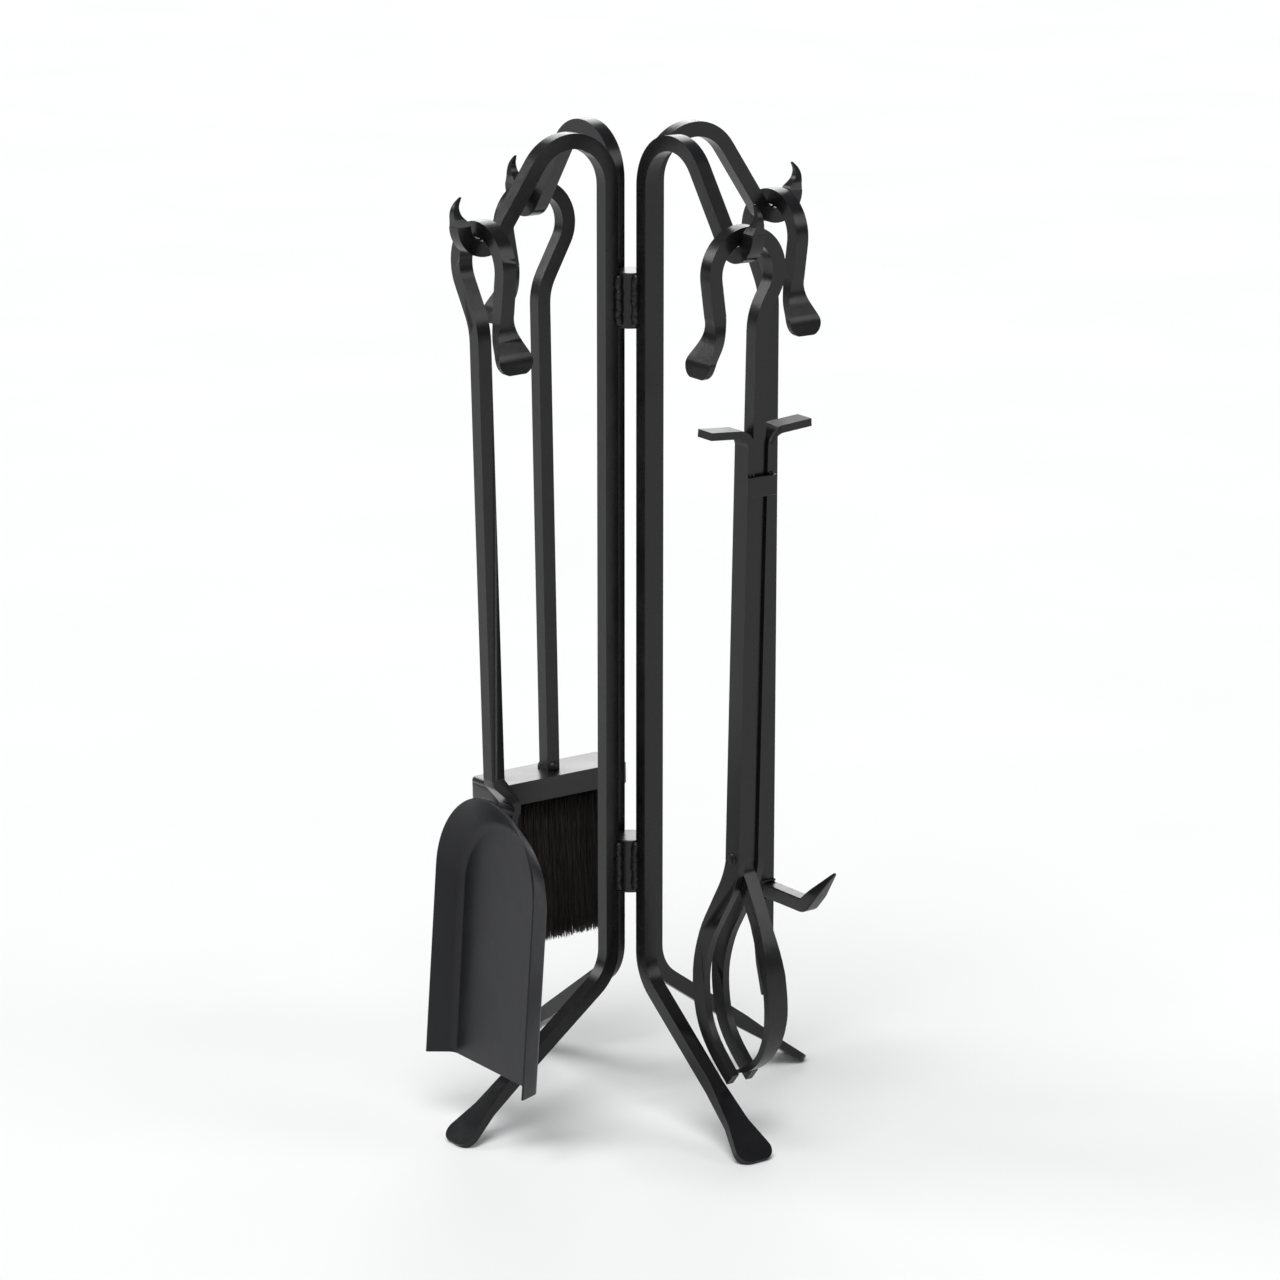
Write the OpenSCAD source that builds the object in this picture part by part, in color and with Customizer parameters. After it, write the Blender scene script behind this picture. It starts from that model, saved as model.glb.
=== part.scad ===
// Fireplace tool set: a four-armed stand that carries a shovel, a brush, tongs and a poker.
// The origin is on the floor under the stand's axis, and +Z is up.
// The arms point along -X (shovel), -Y (tongs), +X (poker) and +Y (brush).
// Each arm and its tool are drawn on an arm that points along +X: x is the distance r from the
// stand's axis, y is the sideways distance t, and the arm is then turned into its place.

/* [Stand] */
// Height from the floor to the top of the arches
stand_h = 600; // [590:1:610]
// Side of the square bar that the stand and the tools are bent from
bar = 9; // [8:0.5:9]
// Distance from the axis to the middle of each upright
upright_r = 16.5; // [15:0.5:18]
// Radius of the arch at the top of each arm, to the middle of the bar
arch_r = 27.9; // [27:0.1:29]
// Distance from the axis to the lowest point of each hook
hook_r = 105.3; // [104:0.1:106]
// Radius of each hook's trough, to the middle of the bar
trough_r = 13.8; // [13.5:0.1:14]
// Distance from the arch's top down to the level of the hook's end
hook_drop = 47.2; // [46:0.2:49]
// Angle below the horizontal of the left and front legs
front_leg_slope = 37.4; // [36:0.1:39]
// Angle below the horizontal of the right and back legs
back_leg_slope = 36; // [35:0.1:39]
// Distance from the axis to the tip of each foot
foot_reach = 131.2; // [128:0.1:134]
// Length of the flattened foot along the leg
foot_l = 56; // [50:1:58]
// Width of the foot at its end
foot_w = 25; // [20:1:26]
// Thickness of the foot at its end
foot_t = 3.8; // [3.5:0.1:4.5]

/* [Spacers] */
// Height of each round spacer between the uprights
spacer_h = 33; // [28:1:38]
// Height from the floor to the middle of the lower spacer
lower_spacer_z = 153.5; // [140:0.5:170]
// Height from the floor to the middle of the upper spacer
upper_spacer_z = 499.5; // [480:0.5:510]

/* [Crook handles] */
// Radius of the crook's loop, to the middle of the bar
loop_r = 22.5; // [22:0.1:23]
// Distance from the loop's middle across to the shaft, on the shovel and the poker
shaft_shift = 5.5; // [5:0.1:6]
// Width of the thumb paddle
paddle_w = 23; // [18:0.5:24]
// Angle that the shovel, brush and tongs lean in towards the axis
lean = 1.5; // [1.2:0.1:1.6]

/* [Shovel] */
// Half of the width of the pan's flat floor
pan_half = 43.5; // [40:0.5:46]
// Length of the pan's floor from the mouth to the top of its arch
pan_l = 152; // [146:1:156]
// Height of the pan's wall above its floor
pan_wall = 15.5; // [13:0.5:17]
// Thickness of the pan's sheet
sheet = 1.5; // [1.2:0.1:2]

/* [Brush] */
// Length of the brush head
head_l = 101; // [95:1:110]
// Thickness of the brush head
head_w = 32; // [28:0.5:34]
// Height of the brush head
head_h = 14; // [13:0.5:18]
// Length of the bristles below the head
bristle_l = 92.5; // [80:0.5:94]

/* [Tongs] */
// Thickness of each flat strip
strip_t = 4.6; // [4:0.1:4.6]
// Width of each flat strip
strip_w = 13; // [11:0.5:13]
// Height of the hinge pin
pin_z = 178; // [176:0.5:180]
// Diameter of the hinge pin
pin_d = 4; // [3:0.5:4]
// Distance from the tongs' middle to the end of each ear
ear_reach = 36; // [32:0.5:37]

/* [Poker] */
// Height of the poker's point
poker_z = 45; // [44:1:60]
// Height of the spur's root
spur_z = 116; // [108:1:118]
// Distance from the poker's shaft to the tip of the spur
spur_reach = 71; // [66:1:72]

/* [Hidden] */
$fn = 48;

RIGHT = 0;
BACK = 90;
LEFT = 180;
FRONT = 270;
PAINT = [0.13, 0.13, 0.14];
BRISTLE = [0.10, 0.08, 0.07];
big = 400;

arc_step = 6;       // largest angle between two points of an arc
half = bar / 2;
gap = 0.3;          // space between pieces that move past each other

arch_c = [upright_r + arch_r, stand_h - half - arch_r];
trough_c = [hook_r, stand_h - hook_drop];
hook_v = trough_c - arch_c;
hook_a = 90 + atan2(hook_v.y, hook_v.x) - asin((arch_r + trough_r) / norm(hook_v));
horn_h = 16.7;      // height of the hook's pointed end

foot_ground = 1.2;  // depth of metal worn flat under the foot
leg_bend_r = 28;

// Height at which a square bar lies in the hook's round trough, touching it with two edges
seat_z = trough_c.y - sqrt(pow(trough_r - half, 2) - half * half);
seat_gap = 0.45;    // space under the loop, enough for its lean

crook_in = 9;       // lean of the paddle's limb towards the shaft
limb_l = 21;
swan_a = 30;        // angle of the crook's diagonal from the vertical
swan_r = 35;
flare_r = 22;
flare_a = 46;
paddle_tip_z = -58; // lowest point of the paddle, from the loop's middle

neck_top = 222;     // height at which the shovel's shaft starts to crank
pan_tilt = 5.7;     // angle between the pan and its shaft
pan_mouth = [10.9, 41]; // mouth's place: out from the shaft's middle, and above the floor
pan_t = 3.5;        // sideways place of the pan's middle
rim_out = 7.5;      // how far each side wall flares
rim_up = 9.5;       // extra flare at the top of the arch
root_r = 4;         // radius of the bend between floor and wall

shovel_loop_t = 2.2; // sideways place of each loop on its hook
brush_loop_t = -4;
tongs_loop_t = 3;
poker_loop_t = -1.5;
brush_shift = 3;    // as shaft_shift, on the brush

brush_z = 173.5;     // underside of the brush head

strip_in = bar / 2 + gap;               // strip's inner face from the tongs' middle
strip_out = strip_in + strip_t;
tongs_t = half + 0.35 + strip_out;      // keeps the inner strip clear of the leg's side
ear_z = 438;
ear_bend_r = 9;
ear_rise = 5;       // upward angle of the ears
collar_z = 404.5;
collar_h = 12;
collar_t = 2.5;
pin_gap = 0.05;
rivet_d = 8;
rivet_h = 1.4;

spur_run = 44;      // length of the spur's level part
spur_bend_r = 8;

// Points of an arc about c, from angle a0 to angle a1
function arc(c, r, a0, a1) =
    let (n = ceil(abs(a1 - a0) / arc_step))
    [for (i = [0:n]) let (a = a0 + (a1 - a0) * i / n) c + r * [cos(a), sin(a)]];

// Points of a smooth curve through the points p
function curve(p, steps = 5) = let (last = len(p) - 1) concat(
    [for (i = [0:last - 1], k = [0:steps - 1])
        curve_point(p[max(i - 1, 0)], p[i], p[i + 1], p[min(i + 2, last)], k / steps)],
    [p[last]]);

function curve_point(a, b, c, d, u) =
    b + u * (c - a) / 2 + u * u * (2 * a - 5 * b + 4 * c - d) / 2 + u * u * u * (3 * b - a - 3 * c + d) / 2;

function unit(v) = norm(v) > 0 ? v / norm(v) : v;

function heading(p, i) = unit(
    unit(p[min(i + 1, len(p) - 1)] - p[i]) + unit(p[i] - p[max(i - 1, 0)]));

// Width at point q: one number, or a table of [height, width]
function width_at(q, width) = is_num(width) ? width : lookup(q.y, width);

function edge(p, width, side) = [for (i = [0:len(p) - 1])
    let (h = heading(p, i)) p[i] + side * width_at(p[i], width) / 2 * [-h.y, h.x]];

function reversed(p) = [for (i = [len(p) - 1:-1:0]) p[i]];

// Outline of a bar that follows the path p
function band(p, width) = concat(edge(p, width, 1), reversed(edge(p, width, -1)));

// Both sides of an outline whose right side is p
function mirrored(p) = concat(p, reversed([for (q = p) [-q.x, q.y]]));

// An outline in the arm's own upright plane, made `depth` wide
module edgewise(outline, depth) {
    rotate([90, 0, 0]) linear_extrude(depth, center = true) polygon(outline);
}

// An outline across the arm, at the hanging tools' distance, made `depth` deep
module crosswise(outline, depth) {
    translate([hook_r, 0, 0]) rotate([90, 0, 90]) linear_extrude(depth, center = true) polygon(outline);
}

module on_arm(turn) {
    rotate([0, 0, turn]) children();
}

// Leans a hanging tool about the place where it hangs
module leaning() {
    translate([hook_r, 0, seat_z]) rotate([0, lean, 0]) translate([-hook_r, 0, -seat_z]) children();
}

// ---- Stand ----

// Middle of the foot's end face, for a leg of that slope
function foot_tip(slope) =
    [foot_reach - foot_t / 2 * sin(slope), foot_t / 2 * cos(slope) - foot_ground];

// From the foot, up the upright, over the arch and round the hook's trough
function arm_path(slope) =
    let (tip = foot_tip(slope),
         bend_z = tip.y + (tip.x - upright_r) * tan(slope) + leg_bend_r * tan((90 - slope) / 2))
    concat(
        [tip - foot_l * [cos(slope), -sin(slope)]],
        arc([upright_r + leg_bend_r, bend_z], leg_bend_r, 270 - slope, 180),
        arc(arch_c, arch_r, 180, hook_a),
        arc(trough_c, trough_r, 180 + hook_a, 360));

horn_root = 2;      // depth of the horn's root inside the bar
horn_path = curve([
    trough_c + [trough_r - 0.15, -horn_root],
    trough_c + [trough_r, 0],
    trough_c + [trough_r + 3.1, 0.37 * horn_h],
    trough_c + [trough_r + 3, 0.7 * horn_h],
    trough_c + [trough_r - 0.5, horn_h]]);
horn_sizes = [[-horn_root, bar - 1], [0, bar], [0.25 * horn_h, 5.8], [0.6 * horn_h, 3.7], [horn_h, 0.9]];
horn_width = [for (k = horn_sizes) [trough_c.y + k[0], k[1]]];
horn_front = mirrored([for (k = horn_width) [k[1] / 2, k[0]]]);

module horn() {
    intersection() {
        edgewise(band(horn_path, horn_width), bar);
        translate([-hook_r, 0, 0]) crosswise(horn_front, big);
    }
}

foot_round = 8;
foot_root = [-foot_l - 1, half - 0.05]; // the foot starts just inside the leg
foot_plan = concat(
    [foot_root, [-foot_l / 2, foot_w * 0.3]],
    arc([-foot_round, foot_w / 2 - foot_round], foot_round, 100, 0),
    arc([-foot_round, foot_round - foot_w / 2], foot_round, 0, -100),
    [[-foot_l / 2, -foot_w * 0.3], [foot_root.x, -foot_root.y]]);
foot_profile = [
    foot_root, [-foot_l / 2, 2.8], [0, foot_t / 2],
    [0, -foot_t / 2], [-foot_l / 2, -2.8], [foot_root.x, -foot_root.y]];

module foot(slope) {
    tip = foot_tip(slope);
    difference() {
        translate([tip.x, 0, tip.y]) rotate([0, slope, 0]) intersection() {
            edgewise(foot_profile, foot_w);
            linear_extrude(bar, center = true) polygon(foot_plan);
        }
        translate([0, -big / 2, -big]) cube([big, big, big]);
    }
}

module stand_arm(turn, slope) {
    color(PAINT) on_arm(turn) union() {
        edgewise(band(arm_path(slope), bar), bar);
        horn();
        foot(slope);
    }
}

module spacer(z) {
    color(PAINT) translate([0, 0, z - spacer_h / 2]) cylinder(r = upright_r - half, h = spacer_h);
}

// Beads down both sides of each upright, where it meets the spacer
module spacer_welds(z) {
    bead_r = 2.4;
    bead_h = spacer_h - 4;
    color(PAINT) difference() {
        for (turn = [RIGHT, BACK, LEFT, FRONT], side = [-1, 1])
            on_arm(turn) translate([upright_r - half, side * (half + 0.6), z - bead_h / 2])
                cylinder(r = bead_r, h = bead_h);
        cylinder(r = upright_r - half, h = stand_h);
        for (turn = [RIGHT, BACK, LEFT, FRONT])
            on_arm(turn) translate([upright_r - half, -half, 0]) cube([bar, bar, stand_h]);
    }
}

// ---- Crook handles ----

// Height of the loop's middle, for a loop that is shifted sideways on its hook
function loop_z(shift) =
    seat_z + seat_gap - sqrt(pow(loop_r - half, 2) - pow(abs(shift) + half, 2));

// From the foot of the paddle's limb, round the loop and down the shaft; u is towards the paddle
function crook_path(z, shift, shaft_end) =
    let (limb_top = [loop_r * cos(crook_in), z - loop_r * sin(crook_in)],
         loop_end = [-loop_r * cos(swan_a), z - loop_r * sin(swan_a)],
         swan_u = -shift - swan_r * (1 - cos(swan_a)),
         swan_z = loop_end.y - (swan_u - loop_end.x) / tan(swan_a))
    concat(
        [limb_top - limb_l * [sin(crook_in), cos(crook_in)]],
        arc([0, z], loop_r, -crook_in, 180 + swan_a),
        arc([-shift - swan_r, swan_z - swan_r * sin(swan_a)], swan_r, swan_a, 0),
        [[-shift, shaft_end]]);

// From the foot of the limb, out and down to the paddle's end
function paddle_path(z) =
    let (start = crook_path(z, shaft_shift, 0)[0],
         flare_c = start + flare_r * [cos(crook_in), -sin(crook_in)],
         flare = arc(flare_c, flare_r, 180 - crook_in, 180 - crook_in + flare_a),
         out_a = flare_a - crook_in,
         out = flare[len(flare) - 1] + 6 * [sin(out_a), -cos(out_a)],
         curl_r = 14,
         curl = arc(out - curl_r * [cos(out_a), sin(out_a)], curl_r, out_a, 10),
         last = curl[len(curl) - 1])
    concat(flare, curl, [last + (last.y - z - paddle_tip_z) * [tan(10), -1]]);

function paddle_width(z) = [[z - 58, 3.2], [z - 44, 4.2], [z - 34, 6.6], [z - 24, bar]];

paddle_round = 8;

// The paddle from the front: a fan with a round-cornered end
function paddle_front(z) = mirrored(concat(
    curve([[half, z - 16], [half, z - 26], [half + 1.2, z - 33], [paddle_w * 0.37, z - 41]]),
    arc([paddle_w / 2 - paddle_round, z + paddle_tip_z + paddle_round], paddle_round, 15, -75),
    [[2, z + paddle_tip_z]]));

// A crook with its shaft; side is the way that the paddle points
module crook(side, loop_t, shift, shaft_end) {
    z = loop_z(loop_t);
    translate([0, loop_t, 0]) mirror([0, side > 0 ? 0 : 1, 0]) union() {
        crosswise(band(crook_path(z, shift, shaft_end), bar), bar);
        intersection() {
            crosswise(band(paddle_path(z), paddle_width(z)), paddle_w);
            translate([hook_r, 0, 0]) edgewise(paddle_front(z), big);
        }
    }
}

// ---- Shovel ----

shovel_t = shovel_loop_t - shaft_shift;
neck_end = 183;
neck_t = 4.5;       // thickness of the flattened neck
neck_half_w = 8.5;  // half of its width

// Distance of the pan's back from the shaft's middle at height z
function pan_back(z) = pan_mouth.x - sheet / cos(pan_tilt) - (z - pan_mouth.y) * tan(pan_tilt);

neck_path = concat(
    [[0, neck_top + 6], [0, neck_top]],
    curve([[-0.6, neck_top - 3], [pan_back(205) - neck_t / 2 - 1, 205], [pan_back(197) - neck_t / 2, 197]]),
    [[pan_back(neck_end) - neck_t / 2, neck_end]]);
neck_width = [[neck_end, neck_t], [203, neck_t], [neck_top - 2, bar]];
neck_front = mirrored([
    [half, neck_top + 6], [half, neck_top - 1], [neck_half_w, 206], [neck_half_w, 190],
    [6, neck_end + 0.5], [4, neck_end]]);

module shovel_neck() {
    intersection() {
        translate([hook_r, shovel_t, 0]) edgewise(band(neck_path, neck_width), big);
        translate([0, shovel_t, 0]) crosswise(neck_front, big);
    }
}

module shovel_handle() {
    color(PAINT) on_arm(LEFT) leaning() union() {
        crook(1, shovel_loop_t, shaft_shift, neck_top);
        shovel_neck();
    }
}

// Puts the pan's own frame (x across, y up the floor, z out of the floor) on the shovel
module on_pan() {
    on_arm(LEFT) leaning() translate([hook_r + pan_mouth.x, pan_t, pan_mouth.y])
        rotate([0, -pan_tilt, 0]) rotate([90, 0, 90]) children();
}

pan_steps = 40;     // stations round the arch
pan_arch = pan_l - pan_half;
bend_steps = 5;

// Stations along the wall: [floor's edge, rim]
pan_stations = concat(
    [[[pan_half, 0], [pan_half + rim_out, 0]]],
    [for (i = [0:pan_steps]) let (a = 180 * i / pan_steps)
        [[pan_half * cos(a), pan_arch + pan_half * sin(a)],
         [(pan_half + rim_out) * cos(a), pan_arch + rim_up + (pan_half + rim_out) * sin(a)]]],
    [[[-pan_half, 0], [-pan_half - rim_out, 0]]]);

// One side of the sheet at a station, from the floor round the bend to the rim: [outward, up]
function sheet_side(flare, r) =
    let (wall = [flare, pan_wall], knee = unit(wall) * r)
    concat(
        [for (i = [0:bend_steps]) let (u = i / bend_steps) [-r * (1 - u) * (1 - u), 0] + knee * u * u],
        [wall]);

// Section of the sheet at one station: up the inside, over the rim and down the back
function pan_section(s) =
    let (out = s[1] - s[0], n = unit(out), flare = norm(out),
         wall_a = atan2(pan_wall, flare),
         inner = sheet_side(flare, root_r),
         last = len(inner) - 1,
         floor_shift = sheet * [tan(wall_a / 2), -1],
         rim_shift = sheet * [sin(wall_a), -cos(wall_a)],
         outer = [for (i = [0:last]) inner[i] + floor_shift + (rim_shift - floor_shift) * i / last])
    [for (q = concat(inner, reversed(outer))) concat(s[0] + n * q.x, q.y)];

pan_rings = [for (s = pan_stations) pan_section(s)];
pan_n = len(pan_rings);
pan_m = len(pan_rings[0]);

module shovel_pan() {
    at = function (i, j) i * pan_m + j;
    last = pan_n - 1;
    color(PAINT) on_pan() polyhedron(
        [for (ring = pan_rings, p = ring) p],
        concat(
            [for (i = [0:last - 1], j = [0:pan_m - 2])
                each [
                    [at(i, j), at(i, j + 1), at(i + 1, j + 1)],
                    [at(i, j), at(i + 1, j + 1), at(i + 1, j)]]],
            [[for (i = [0:last]) at(i, 0)]],
            [[for (i = [last:-1:0]) at(i, pan_m - 1)]],
            [for (j = [0:pan_m / 2 - 2]) each [
                [at(0, pan_m - 1 - j), at(0, pan_m - 2 - j), at(0, j + 1), at(0, j)],
                [at(last, j), at(last, j + 1), at(last, pan_m - 2 - j), at(last, pan_m - 1 - j)]]],
            [[at(0, pan_m - 1), at(0, 0), at(last, 0), at(last, pan_m - 1)]]));
}

// Beads down both sides of the neck, on the pan's back
module shovel_welds() {
    bead_r = 1.8;
    neck_mid = shovel_t - pan_t;
    color(PAINT) on_pan() intersection() {
        for (side = [-1, 1])
            translate([neck_mid + side * (neck_half_w + bead_r * 0.8), neck_end - pan_mouth.y + 2, -sheet])
                rotate([-90, 0, 0]) cylinder(r = bead_r, h = 11);
        translate([-big / 2, 0, -sheet - big]) cube([big, big, big]);
    }
}

// ---- Brush ----

brush_t = brush_loop_t - brush_shift;
head_round = 5;
head_outline = mirrored(concat(
    [[head_l / 2 - 1, brush_z]],
    [[head_l / 2, brush_z + 2]],
    arc([head_l / 2 - head_round, brush_z + head_h - head_round], head_round, 0, 90)));

// The head from above: a block with rounded corners
head_corner = 7;
head_plan = mirrored(concat(
    arc([head_w / 2 - head_corner, head_corner - head_l / 2], head_corner, -90, 0),
    arc([head_w / 2 - head_corner, head_l / 2 - head_corner], head_corner, 0, 90)));

module brush_handle() {
    color(PAINT) on_arm(BACK) leaning() crook(1, brush_loop_t, brush_shift, brush_z + head_h);
}

module brush_head() {
    color(PAINT) on_arm(BACK) leaning() translate([0, brush_t, 0]) intersection() {
        crosswise(head_outline, head_w);
        translate([hook_r, 0, 0]) linear_extrude(big) polygon(head_plan);
    }
}

bristle_outline = mirrored([[head_l / 2 - 5, brush_z], [head_l / 2 - 2, brush_z - bristle_l]]);
bristle_side = mirrored([[head_w / 2 - 6, brush_z], [head_w / 2 - 3, brush_z - bristle_l]]);

module brush_bristles() {
    color(BRISTLE) on_arm(BACK) leaning() translate([0, brush_t, 0]) intersection() {
        crosswise(bristle_outline, head_w);
        translate([hook_r, 0, 0]) edgewise(bristle_side, big);
    }
}

// A collar of weld round the shaft, on top of the head
module brush_weld() {
    color(PAINT) on_arm(BACK) leaning() translate([hook_r, brush_t, brush_z + head_h]) difference() {
        cylinder(r1 = half * 1.5, r2 = half * 1.42, h = 2.6);
        translate([-half, -half, 0]) cube([bar, bar, bar]);
    }
}

// ---- Tongs ----

claw_top = 176;

// The outer claw: out from the bar, round, and back to a point between the two strips
outer_claw = curve([
    [0, claw_top + 8], [0, claw_top - 6], [7, 158], [19, 137], [29.5, 114],
    [33.5, 92], [31.5, 75], [24, 60], [11, 48.5], [-7, 40]], 4);
outer_claw_width = [[40, 1.6], [50, 3.8], [75, 4.6], [108, 4.8], [128, 8], [150, bar]];
outer_claw_front = mirrored([
    [half, claw_top + 8], [half, 140], [7, 112], [7, 88], [5.8, 68], [4, 53], [1.2, 38]]);

strip_claw = curve([
    [0, claw_top + 8], [0, claw_top - 2], [-4.5, 160], [-14.5, 142], [-25, 122],
    [-30.5, 98], [-27, 73], [-16.5, 56], [2.8, 39.8]], 4);
strip_claw_width = [[40, 9.5], [75, 11], [120, 12], [160, strip_w]];

// Outline of one strip's upright part and its ear; u is away from the tongs' middle
strip_path = concat(
    [[strip_in + strip_t / 2, claw_top]],
    arc([strip_out - strip_t / 2 + ear_bend_r, ear_z - ear_bend_r - 2], ear_bend_r, 180, 90 + ear_rise),
    [[ear_reach, ear_z - 2 + (ear_reach - strip_out - ear_bend_r) * tan(ear_rise)]]);

module pin_bore(r) {
    translate([hook_r, -big / 2, pin_z]) rotate([-90, 0, 0]) cylinder(r = r, h = big);
}

module tongs_bar() {
    color(PAINT) on_arm(FRONT) leaning() difference() {
        union() {
            crook(-1, tongs_loop_t, tongs_t - tongs_loop_t, claw_top);
            translate([hook_r, tongs_t, 0]) intersection() {
                edgewise(band(outer_claw, outer_claw_width), big);
                translate([-hook_r, 0, 0]) crosswise(outer_claw_front, big);
            }
        }
        pin_bore(pin_d / 2);
    }
}

module tongs_strip(side) {
    color(PAINT) on_arm(FRONT) leaning() difference() {
        translate([0, tongs_t, 0]) mirror([0, side > 0 ? 0 : 1, 0]) union() {
            crosswise(band(strip_path, strip_t), strip_w);
            translate([hook_r, (strip_in + strip_out) / 2, 0])
                edgewise(band(strip_claw, strip_claw_width), strip_t);
        }
        pin_bore(pin_d / 2 + pin_gap);
    }
}

module tongs_left_strip() {
    tongs_strip(-1);
}

module tongs_right_strip() {
    tongs_strip(1);
}

module tongs_collar() {
    color(PAINT) on_arm(FRONT) leaning()
        translate([hook_r + strip_w / 2, tongs_t - strip_out - 1, collar_z - collar_h / 2])
            cube([collar_t, 2 * strip_out + 2, collar_h]);
}

// Beads along the collar's top edge, one on each strip
module tongs_collar_welds() {
    bead_r = 1.6;
    color(PAINT) on_arm(FRONT) leaning() intersection() {
        for (side = [-1, 1])
            translate([
                hook_r + strip_w / 2,
                tongs_t + side * (strip_in + strip_t / 2),
                collar_z + collar_h / 2])
                sphere(bead_r);
        translate([hook_r + strip_w / 2, -big / 2, collar_z + collar_h / 2]) cube([big, big, big]);
    }
}

module tongs_pin() {
    color(PAINT) on_arm(FRONT) leaning() translate([hook_r, tongs_t, pin_z]) rotate([-90, 0, 0]) union() {
        cylinder(r = pin_d / 2, h = 2 * (strip_out + gap), center = true);
        for (side = [0, 180])
            rotate([side, 0, 0]) translate([0, 0, strip_out + 0.1])
                cylinder(r1 = rivet_d / 2, r2 = rivet_d / 4, h = rivet_h);
    }
}

// ---- Poker ----

poker_t = poker_loop_t + shaft_shift;
poker_taper = 42;   // length of the poker's point
spur_tip = [poker_t - spur_reach, spur_z + spur_reach - spur_run];
spur_bend = [poker_t - spur_run, spur_z];
spur_turn = spur_bend_r * tan(22.5);
spur_path = concat(
    [[poker_t - half, spur_z]],
    arc(spur_bend + [spur_turn, spur_bend_r], spur_bend_r, 270, 225),
    [spur_bend + 10 * [-1, 1], spur_tip]);

module poker_bar() {
    color(PAINT) on_arm(RIGHT) union() {
        crook(-1, poker_loop_t, shaft_shift, poker_z + poker_taper);
        translate([0, poker_t, 0]) intersection() {
            crosswise(poker_point, bar);
            translate([hook_r, 0, 0]) edgewise(poker_point, bar);
        }
    }
}

poker_point = mirrored([
    [half, poker_z + poker_taper], [0.36 * bar, poker_z + poker_taper * 0.5], [0.8, poker_z]]);

// The spur thins to its tip in both directions
spur_width = [[spur_z + 6, bar], [spur_tip.y, 1.6]];

module poker_spur() {
    color(PAINT) on_arm(RIGHT) intersection() {
        crosswise(band(spur_path, spur_width), bar);
        translate([hook_r, 0, 0]) edgewise(mirrored([
            [half, spur_z - bar], [half, spur_z + 9], [0.9, spur_tip.y + 1]]), big);
    }
}

// Beads above and below the spur's root
module poker_welds() {
    bead_r = 2;
    color(PAINT) on_arm(RIGHT) difference() {
        for (side = [-1, 1])
            translate([hook_r, poker_t - half, spur_z + side * half]) rotate([0, 90, 0])
                cylinder(r = bead_r, h = bar, center = true);
        translate([hook_r - bar, poker_t - half, 0]) cube([2 * bar, bar, big]);
        translate([hook_r - bar, poker_t - bar, spur_z - half]) cube([2 * bar, bar, bar]);
    }
}

stand_arm(LEFT, front_leg_slope);  // left_stand_arm
stand_arm(FRONT, front_leg_slope);  // front_stand_arm
stand_arm(RIGHT, back_leg_slope);  // right_stand_arm
stand_arm(BACK, back_leg_slope);  // back_stand_arm
spacer(upper_spacer_z);  // upper_spacer
spacer(lower_spacer_z);  // lower_spacer
spacer_welds(upper_spacer_z);  // upper_spacer_welds
spacer_welds(lower_spacer_z);  // lower_spacer_welds
shovel_handle();
shovel_pan();
shovel_welds();
brush_handle();
brush_head();
brush_bristles();
brush_weld();
tongs_bar();
tongs_left_strip();
tongs_right_strip();
tongs_collar();
tongs_collar_welds();
tongs_pin();
poker_bar();
poker_spur();
poker_welds();
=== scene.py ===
import math
import random

import bmesh
import bpy
from mathutils import Matrix, Vector


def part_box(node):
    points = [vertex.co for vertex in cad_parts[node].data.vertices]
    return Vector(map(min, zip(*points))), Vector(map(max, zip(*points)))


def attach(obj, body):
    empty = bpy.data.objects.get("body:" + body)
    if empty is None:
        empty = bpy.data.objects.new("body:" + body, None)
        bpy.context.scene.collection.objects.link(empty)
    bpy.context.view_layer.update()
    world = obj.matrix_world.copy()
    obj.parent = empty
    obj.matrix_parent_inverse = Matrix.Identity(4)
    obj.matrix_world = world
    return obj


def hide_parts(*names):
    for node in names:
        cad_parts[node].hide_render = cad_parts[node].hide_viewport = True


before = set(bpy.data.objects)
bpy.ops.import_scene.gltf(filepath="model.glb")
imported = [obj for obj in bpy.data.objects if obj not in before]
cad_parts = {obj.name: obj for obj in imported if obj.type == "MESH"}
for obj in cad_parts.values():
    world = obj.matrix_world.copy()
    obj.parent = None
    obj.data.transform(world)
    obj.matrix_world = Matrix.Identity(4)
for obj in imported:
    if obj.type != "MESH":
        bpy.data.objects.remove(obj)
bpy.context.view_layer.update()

# Fireplace tool set: satin black forged steel, a sheet shovel pan and a dark bristle brush.
# Everything is in metres, in the row's own frame: the arms point along -X, -Y, +X and +Y.

MM = 0.001
SEED = 7

# Edges and shading of the CAD's own pieces. Angles are in degrees.
BAR_EDGE = 1.0 * MM         # radius of a bar's softened edge
THIN_EDGE = 0.5 * MM        # radius on strips, collar and pin
HEAD_EDGE = 2.6 * MM        # radius on the brush head
SHEET_EDGE = 0.35 * MM      # radius on the pan's cut edge
SAME_CORNER = 0.002 * MM    # corners of the mesh nearer than this are one corner
FLAT_ANGLE = 0.4            # neighbouring triangles within this angle become one face
BEVEL_ANGLE = 38            # edges sharper than this are rounded
CREASE_ANGLE = 36           # edges sharper than this after the rounding stay sharp
FACE_WEIGHT = 60            # how strongly the large faces lead the shading

# Runs of weld, each built from overlapping balls. The last three are in ball radii.
BALL_STEP = 1.5 * MM        # distance between neighbouring balls
WELD_VOXEL = 0.45 * MM      # fineness of the skin round them
BALL_INSET = 0.6            # from the bead's end to the middle of the last ball
BALL_WANDER = 0.25          # how far a ball strays from the bead's line
BALL_SIZES = (0.85, 1.15)

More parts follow.
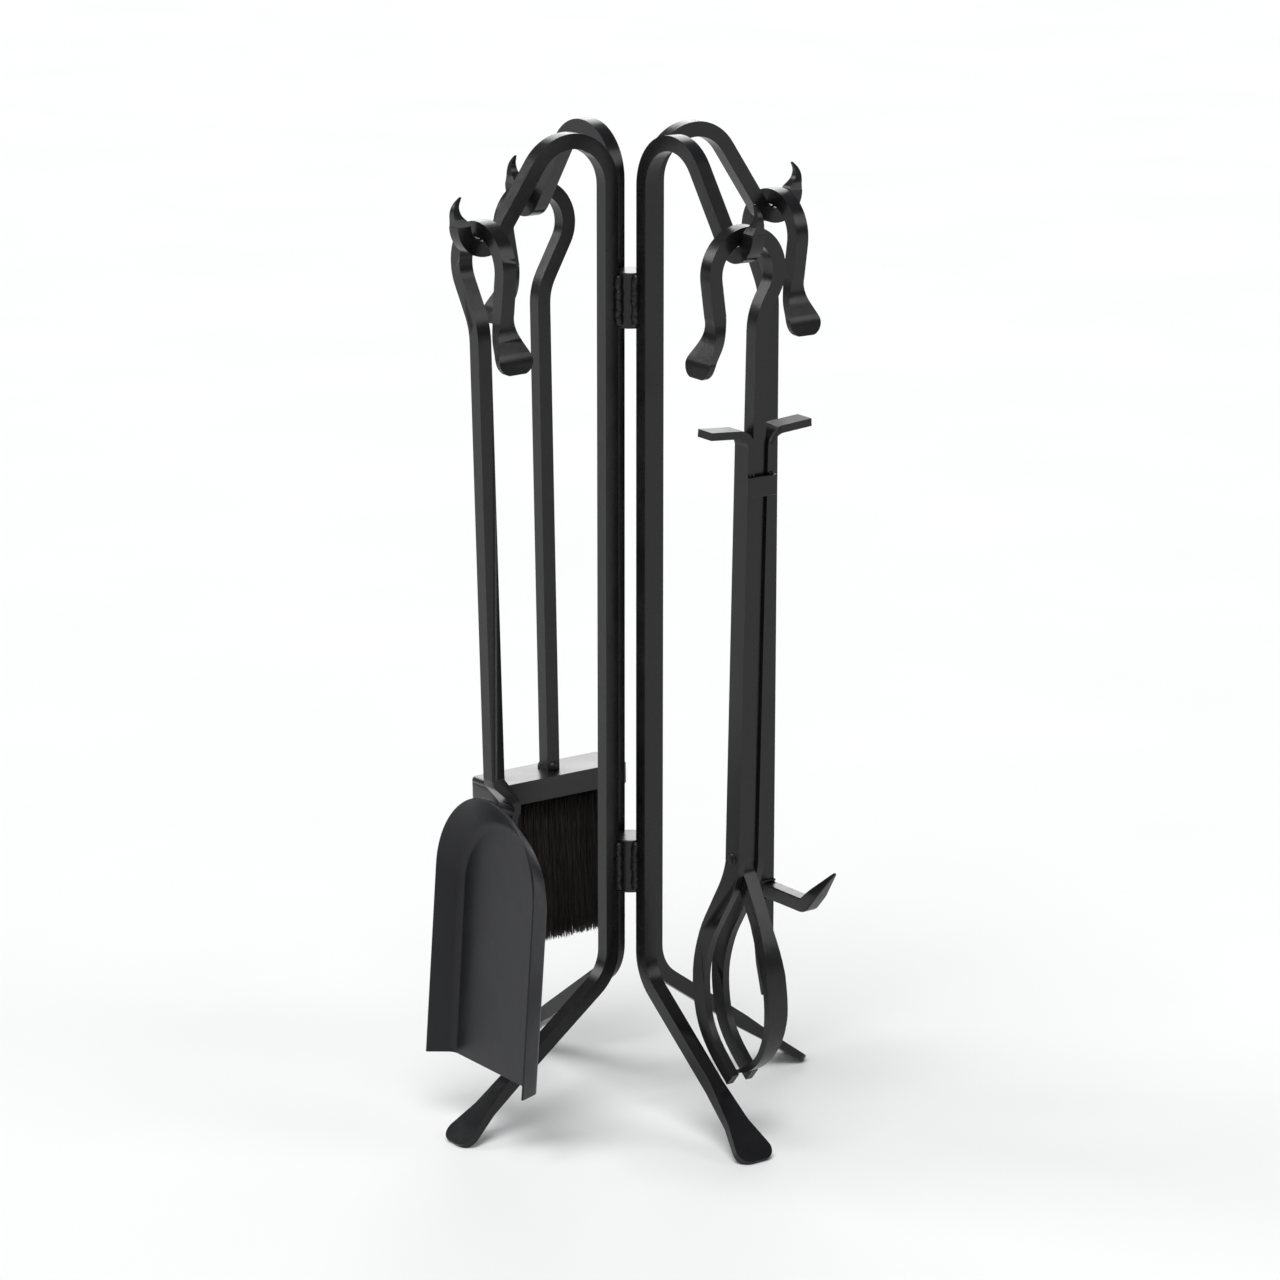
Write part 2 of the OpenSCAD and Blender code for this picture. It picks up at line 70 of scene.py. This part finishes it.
# Bristles
STRANDS = 7400
STRAND_RADIUS = 0.21 * MM
STRAND_SIZES = (0.8, 1.25)  # limits of a strand's radius, as parts of STRAND_RADIUS
STRAND_STEPS = 4
STRAND_SIDES = 3
STRAND_TAPER = 0.45         # part of its radius that a strand loses towards its tip
BOW_WAVE = 0.9              # part of a half wave that a strand's bow covers
BOW_LONG = 0.5 * MM         # usual bow along the head
BOW_THICK = 0.3 * MM        # usual bow across it
RAGGED = 2.25 * MM          # usual difference in length between strands
TUFT_INSET = 4 * MM         # from the head's end to the first roots
TUFT_HALF = 10 * MM         # half the tuft's thickness at its roots
TUFT_FLARE = 1.25           # thickness at the tips, as a part of that at the roots
ROOT_DEPTH = 1.5 * MM       # how far the roots reach into the head
TIP_DRIFT_LONG = 0.018      # usual stray of a tip along the head, in tuft half-lengths
TIP_DRIFT_THICK = 0.5 * MM  # usual stray of a tip across the head
TUFT_LEAN = 1.5             # degrees that the tuft leans towards the stand

# Noise textures, in features per metre
CLOUD_SCALE = 38            # slow change of tone and gloss
WAVE_SCALE = 95             # unevenness from the hammer
SPECK_SCALE = 2100          # grain of the paint
HAIR_SCALE = 1500           # change of tone from bristle to bristle
FLOOR_SCALE = 3

# Camera and studio
CAMERA_AZIMUTH = 35.76      # degrees from the front arm towards the left arm
CAMERA_DISTANCE = 2.4726    # level distance from the stand's axis
CAMERA_HEIGHT = 0.9389
CAMERA_PITCH = 14.66        # degrees below the horizon
CAMERA_LENS = 120.1         # millimetres, on a sensor of the next line's width
SENSOR_WIDTH = 36
CAMERA_SHIFT = 0.0075       # puts the stand's axis just left of the middle
CAMERA_REACH = 60           # metres: what is farther away isn't drawn
SKY_COLOUR = (0.95, 0.97, 1.0)
SKY_STRENGTH = 0.22
FLOOR_SIZE = 400            # metres: wide enough to have no edge in any view


# ---- Materials ----

def new_material(name):
    """A material with a Principled shader, and a helper that adds linked nodes to it."""
    material = bpy.data.materials.new(name)
    material.use_nodes = True
    tree = material.node_tree
    shader = tree.nodes["Principled BSDF"]
    coords = tree.nodes.new("ShaderNodeTexCoord")

    def add(kind, inputs=None, **settings):
        node = tree.nodes.new(kind)
        for key, value in settings.items():
            setattr(node, key, value)
        for key, value in (inputs or {}).items():
            if isinstance(value, bpy.types.NodeSocket):
                tree.links.new(value, node.inputs[key])
            else:
                node.inputs[key].default_value = value
        return node

    return material, shader, coords.outputs["Object"], add, tree.links.new


def noise_of(add, where, scale, detail=3.0, roughness=0.55):
    """Noise with features about 1/scale metres across."""
    return add("ShaderNodeTexNoise", {"Vector": where, "Scale": scale, "Detail": detail,
                                      "Roughness": roughness}).outputs["Fac"]


def spread(add, value, low, high, start=0.3, end=0.7):
    """Maps start..end of a noise to low..high."""
    return add("ShaderNodeMapRange", {"Value": value, "From Min": start, "From Max": end,
                                      "To Min": low, "To Max": high}).outputs["Result"]


def blend_colours(add, fac, dark, light):
    """The colour between dark (where fac is 0) and light (where it is 1)."""
    mix = add("ShaderNodeMix", data_type="RGBA")
    mix.inputs["A"].default_value = (*dark, 1)
    mix.inputs["B"].default_value = (*light, 1)
    mix.id_data.links.new(fac, mix.inputs["Factor"])
    return mix.outputs["Result"]


def paint(name, dark, light, rough, forged, grain, coat=0.0):
    """Black paint: dark and light are the colour's limits, rough the limits of the roughness,
    forged the depth of the hammer's unevenness and grain that of the paint's own texture."""
    material, shader, where, add, link = new_material(name)
    cloud = noise_of(add, where, CLOUD_SCALE)
    speck = noise_of(add, where, SPECK_SCALE, detail=2.0)
    wave = noise_of(add, where, WAVE_SCALE, detail=2.0, roughness=0.4)
    link(blend_colours(add, spread(add, cloud, 0, 1), dark, light), shader.inputs["Base Color"])
    link(spread(add, cloud, *rough), shader.inputs["Roughness"])
    dents = add("ShaderNodeBump", {"Height": wave, "Strength": 1.0, "Distance": forged})
    fine = add("ShaderNodeBump", {"Height": speck, "Strength": 0.6, "Distance": grain,
                                  "Normal": dents.outputs["Normal"]})
    link(fine.outputs["Normal"], shader.inputs["Normal"])
    shader.inputs["Specular IOR Level"].default_value = 0.36
    shader.inputs["Coat Weight"].default_value = coat
    shader.inputs["Coat Roughness"].default_value = 0.28
    return material


def fibre(dark, light, rough):
    """Dark brown-black bristle, with strands that differ a little in tone."""
    material, shader, where, add, link = new_material("bristle_fibre")
    stretched = add("ShaderNodeMapping", {"Vector": where})
    stretched.inputs["Scale"].default_value = (1, 1, 0.05)
    tone = noise_of(add, stretched.outputs["Vector"], HAIR_SCALE, detail=2.0)
    colour = blend_colours(add, spread(add, tone, 0, 1, start=0.35), dark, light)
    link(colour, shader.inputs["Base Color"])
    link(spread(add, tone, *rough), shader.inputs["Roughness"])
    shader.inputs["Specular IOR Level"].default_value = 0.35
    return material


def pale_floor(dark, light):
    """An almost even, dull floor."""
    material, shader, where, add, link = new_material("pale_floor")
    cloud = noise_of(add, where, FLOOR_SCALE)
    link(blend_colours(add, spread(add, cloud, 0, 1), dark, light), shader.inputs["Base Color"])
    shader.inputs["Roughness"].default_value = 0.9
    shader.inputs["Specular IOR Level"].default_value = 0.1
    return material


BLACK = (0.0040, 0.0040, 0.0046)
WORN_BLACK = (0.0070, 0.0070, 0.0080)

STEEL = paint("black_steel_paint", dark=BLACK, light=WORN_BLACK,
              rough=(0.21, 0.31), forged=0.16 * MM, grain=0.010 * MM)
STRIP = paint("black_strip_paint", dark=BLACK, light=WORN_BLACK,
              rough=(0.30, 0.40), forged=0.05 * MM, grain=0.008 * MM)
PAN = paint("pan_sheet_paint", dark=(0.0060, 0.0063, 0.0085), light=(0.0095, 0.0100, 0.0130),
            rough=(0.32, 0.40), forged=0.16 * MM, grain=0.006 * MM)
WELD = paint("weld_paint", dark=(0.0050, 0.0050, 0.0056), light=(0.0110, 0.0110, 0.0120),
             rough=(0.30, 0.46), forged=0.50 * MM, grain=0.020 * MM)
HEAD = paint("brush_head_paint", dark=(0.0055, 0.0055, 0.0058), light=(0.0085, 0.0085, 0.0090),
             rough=(0.28, 0.36), forged=0.12 * MM, grain=0.006 * MM, coat=0.25)
FIBRE = fibre(dark=(0.004, 0.0035, 0.003), light=(0.060, 0.050, 0.044), rough=(0.50, 0.75))
FLOOR = pale_floor(dark=(0.86, 0.86, 0.86), light=(0.88, 0.88, 0.88))


def wear(piece, material):
    """Gives the piece this material and no other."""
    piece.data.materials.clear()
    piece.data.materials.append(material)


# ---- CAD pieces that keep their shape ----

def refine(node, material, edge, segments=3, flat_faces=True):
    """Softens a CAD piece's edges: joins its triangles into whole faces, then bevels and shades it."""
    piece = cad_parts[node]
    wear(piece, material)
    mesh = piece.data
    if mesh.attributes.get("custom_normal"):
        mesh.attributes.remove(mesh.attributes["custom_normal"])
    for polygon in mesh.polygons:
        polygon.use_smooth = True
    join = piece.modifiers.new("join", "WELD")
    join.merge_threshold = SAME_CORNER
    if flat_faces:
        flat = piece.modifiers.new("whole_faces", "DECIMATE")
        flat.decimate_type = "DISSOLVE"
        flat.angle_limit = math.radians(FLAT_ANGLE)
    bevel = piece.modifiers.new("soft_edges", "BEVEL")
    bevel.width = edge
    bevel.segments = segments
    bevel.limit_method = "ANGLE"
    bevel.angle_limit = math.radians(BEVEL_ANGLE)
    bevel.use_clamp_overlap = True
    crease = piece.modifiers.new("creases", "EDGE_SPLIT")
    crease.split_angle = math.radians(CREASE_ANGLE)
    shade = piece.modifiers.new("shading", "WEIGHTED_NORMAL")
    shade.weight = FACE_WEIGHT
    shade.keep_sharp = False


BARS = ["left_stand_arm", "front_stand_arm", "right_stand_arm", "back_stand_arm",
        "shovel_handle", "brush_handle", "tongs_bar", "poker_bar", "poker_spur",
        "upper_spacer", "lower_spacer"]
THIN = ["tongs_left_strip", "tongs_right_strip", "tongs_collar", "tongs_pin"]

for node in BARS:
    refine(node, STEEL, BAR_EDGE)
for node in THIN:
    refine(node, STRIP, THIN_EDGE)
refine("shovel_pan", PAN, SHEET_EDGE, flat_faces=False)
refine("brush_head", HEAD, HEAD_EDGE, segments=5)


# ---- Pieces that replace plain CAD solids ----

def mesh_piece(name, bm, material, body, slot, *nodes):
    """A smooth piece of this mesh, which rides on the body and stands in for the CAD nodes."""
    mesh = bpy.data.meshes.new(name)
    bm.to_mesh(mesh)
    bm.free()
    piece = bpy.data.objects.new(name, mesh)
    bpy.context.scene.collection.objects.link(piece)
    wear(piece, material)
    for polygon in mesh.polygons:
        polygon.use_smooth = True
    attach(piece, body)
    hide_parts(*nodes)
    return piece


def islands(node):
    """The separate solids in a CAD node: the box of each, as (lowest, highest) corner."""
    bm = bmesh.new()
    bm.from_mesh(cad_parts[node].data)
    bmesh.ops.remove_doubles(bm, verts=bm.verts, dist=SAME_CORNER)
    left = set(bm.verts)
    boxes = []
    while left:
        stack = [left.pop()]
        found = list(stack)
        while stack:
            for e in stack.pop().link_edges:
                for v in e.verts:
                    if v in left:
                        left.discard(v)
                        stack.append(v)
                        found.append(v)
        boxes.append(tuple(Vector(f(v.co[k] for v in found) for k in range(3)) for f in (min, max)))
    bm.free()
    return sorted(boxes, key=lambda box: tuple(round(x, 5) for x in box[0]))


def lumps(node, rng):
    """Overlapping balls along the longest side of each bead of a weld node."""
    bm = bmesh.new()
    for low, high in islands(node):
        size = high - low
        long = max(range(3), key=lambda k: size[k])
        count = max(2, round(size[long] / BALL_STEP))
        thickness = sum(size[k] for k in range(3) if k != long) / 2
        radius = thickness / 2
        inset = radius * BALL_INSET
        for i in range(count):
            at = (low + high) / 2
            at[long] = low[long] + inset + (size[long] - 2 * inset) * i / (count - 1)
            at += Vector(rng.uniform(-BALL_WANDER, BALL_WANDER) * radius for _ in range(3))
            ball = Matrix.Translation(at) @ Matrix.Scale(radius * rng.uniform(*BALL_SIZES), 4)
            bmesh.ops.create_icosphere(bm, subdivisions=3, radius=1.0, matrix=ball)
    return bm


def weld(node, body):
    """A rough run of weld, melted into one skin."""
    rng = random.Random(SEED + len(node))
    piece = mesh_piece(node + "_run", lumps(node, rng), WELD, body, "black_steel", node)
    melt = piece.modifiers.new("melt", "REMESH")
    melt.mode = "VOXEL"
    melt.voxel_size = WELD_VOXEL
    melt.use_smooth_shade = True
    smooth = piece.modifiers.new("smooth", "SMOOTH")
    smooth.factor = 0.5
    smooth.iterations = 3


for node, body in (("upper_spacer_welds", "stand"), ("lower_spacer_welds", "stand"),
                   ("shovel_welds", "shovel"), ("brush_weld", "brush"),
                   ("tongs_collar_welds", "tongs_strips"), ("poker_welds", "poker")):
    weld(node, body)


def strand(bm, root, tip, bow, radius):
    """One bristle: a thin tube with few sides, from root to tip, that bows sideways."""
    corners = [2 * math.pi * k / STRAND_SIDES for k in range(STRAND_SIDES)]
    rings = []
    for i in range(STRAND_STEPS + 1):
        u = i / STRAND_STEPS
        at = root.lerp(tip, u) + bow * math.sin(math.pi * u * BOW_WAVE)
        r = radius * (1 - STRAND_TAPER * u)
        rings.append([bm.verts.new(at + Vector((r * math.cos(a), r * math.sin(a), 0)))
                      for a in corners])
    for low, high in zip(rings, rings[1:]):
        for k in range(STRAND_SIDES):
            after = (k + 1) % STRAND_SIDES
            bm.faces.new((low[k], low[after], high[after], high[k]))
    bm.faces.new(rings[-1])
    bm.faces.new(reversed(rings[0]))


def tuft_field():
    """All the bristles: dense at the head, spreading a little and ragged at their ends."""
    rng = random.Random(SEED)
    low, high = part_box("brush_bristles")
    head_low, head_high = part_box("brush_head")
    middle_x = (low.x + high.x) / 2
    head_y = (head_low.y + head_high.y) / 2
    root_half = (head_high.x - head_low.x) / 2 - TUFT_INSET
    tip_half = (high.x - low.x) / 2
    top = head_low.z + ROOT_DEPTH
    lean = math.tan(math.radians(TUFT_LEAN))
    bm = bmesh.new()
    for _ in range(STRANDS):
        u = rng.uniform(-1, 1)
        v = rng.uniform(-1, 1)
        end = low.z + abs(rng.gauss(0, RAGGED))
        root = Vector((middle_x + u * root_half, head_y + v * TUFT_HALF, top))
        u_tip = max(-1, min(1, u + rng.gauss(0, TIP_DRIFT_LONG)))
        y_tip = head_y - (top - end) * lean + v * TUFT_HALF * TUFT_FLARE
        tip = Vector((middle_x + u_tip * tip_half, y_tip + rng.gauss(0, TIP_DRIFT_THICK), end))
        bow = Vector((rng.gauss(0, BOW_LONG), rng.gauss(0, BOW_THICK), 0))
        strand(bm, root, tip, bow, STRAND_RADIUS * rng.uniform(*STRAND_SIZES))
    return bm


mesh_piece("bristle_strands", tuft_field(), FIBRE, "brush", "bristles", "brush_bristles")


# ---- Floor, light and camera ----

def stage_floor():
    """The floor that the set stands on, which isn't part of it."""
    bpy.ops.mesh.primitive_plane_add(size=FLOOR_SIZE, location=(0, 0, 0))
    floor = bpy.context.object
    floor.name = "stage_floor"
    wear(floor, FLOOR)


def soft_light(name, azimuth, elevation, strength, softness):
    """Even light from a wide patch of sky. Angles are in degrees: azimuth 0 is the front arm's
    side and 90 the right arm's, and softness is how wide the patch looks."""
    lamp = bpy.data.lights.new(name, "SUN")
    lamp.energy = strength
    lamp.angle = math.radians(softness)
    holder = bpy.data.objects.new(name, lamp)
    holder.rotation_euler = (math.radians(90 - elevation), 0, math.radians(azimuth))
    bpy.context.scene.collection.objects.link(holder)


def studio():
    """A dim sky and four soft lights, named as the camera sees them."""
    world = bpy.data.worlds.new("studio")
    world.use_nodes = True
    background = world.node_tree.nodes["Background"]
    background.inputs["Color"].default_value = (*SKY_COLOUR, 1)
    background.inputs["Strength"].default_value = SKY_STRENGTH
    bpy.context.scene.world = world
    soft_light("top_light", azimuth=-60, elevation=68, strength=2.1, softness=40)
    soft_light("back_light", azimuth=144, elevation=22, strength=0.9, softness=36)
    soft_light("left_light", azimuth=-138, elevation=28, strength=0.9, softness=26)
    soft_light("right_light", azimuth=38, elevation=30, strength=0.4, softness=26)
    bpy.context.scene.view_settings.view_transform = "Standard"


def camera():
    """The camera where the picture was taken from."""
    data = bpy.data.cameras.new("camera")
    data.lens = CAMERA_LENS
    data.sensor_width = SENSOR_WIDTH
    data.shift_x = CAMERA_SHIFT
    data.clip_end = CAMERA_REACH
    holder = bpy.data.objects.new("camera", data)
    a = math.radians(CAMERA_AZIMUTH)
    holder.location = (-CAMERA_DISTANCE * math.sin(a), -CAMERA_DISTANCE * math.cos(a), CAMERA_HEIGHT)
    holder.rotation_euler = (math.radians(90 - CAMERA_PITCH), 0, -a)
    bpy.context.scene.collection.objects.link(holder)
    bpy.context.scene.camera = holder


stage_floor()
studio()
camera()
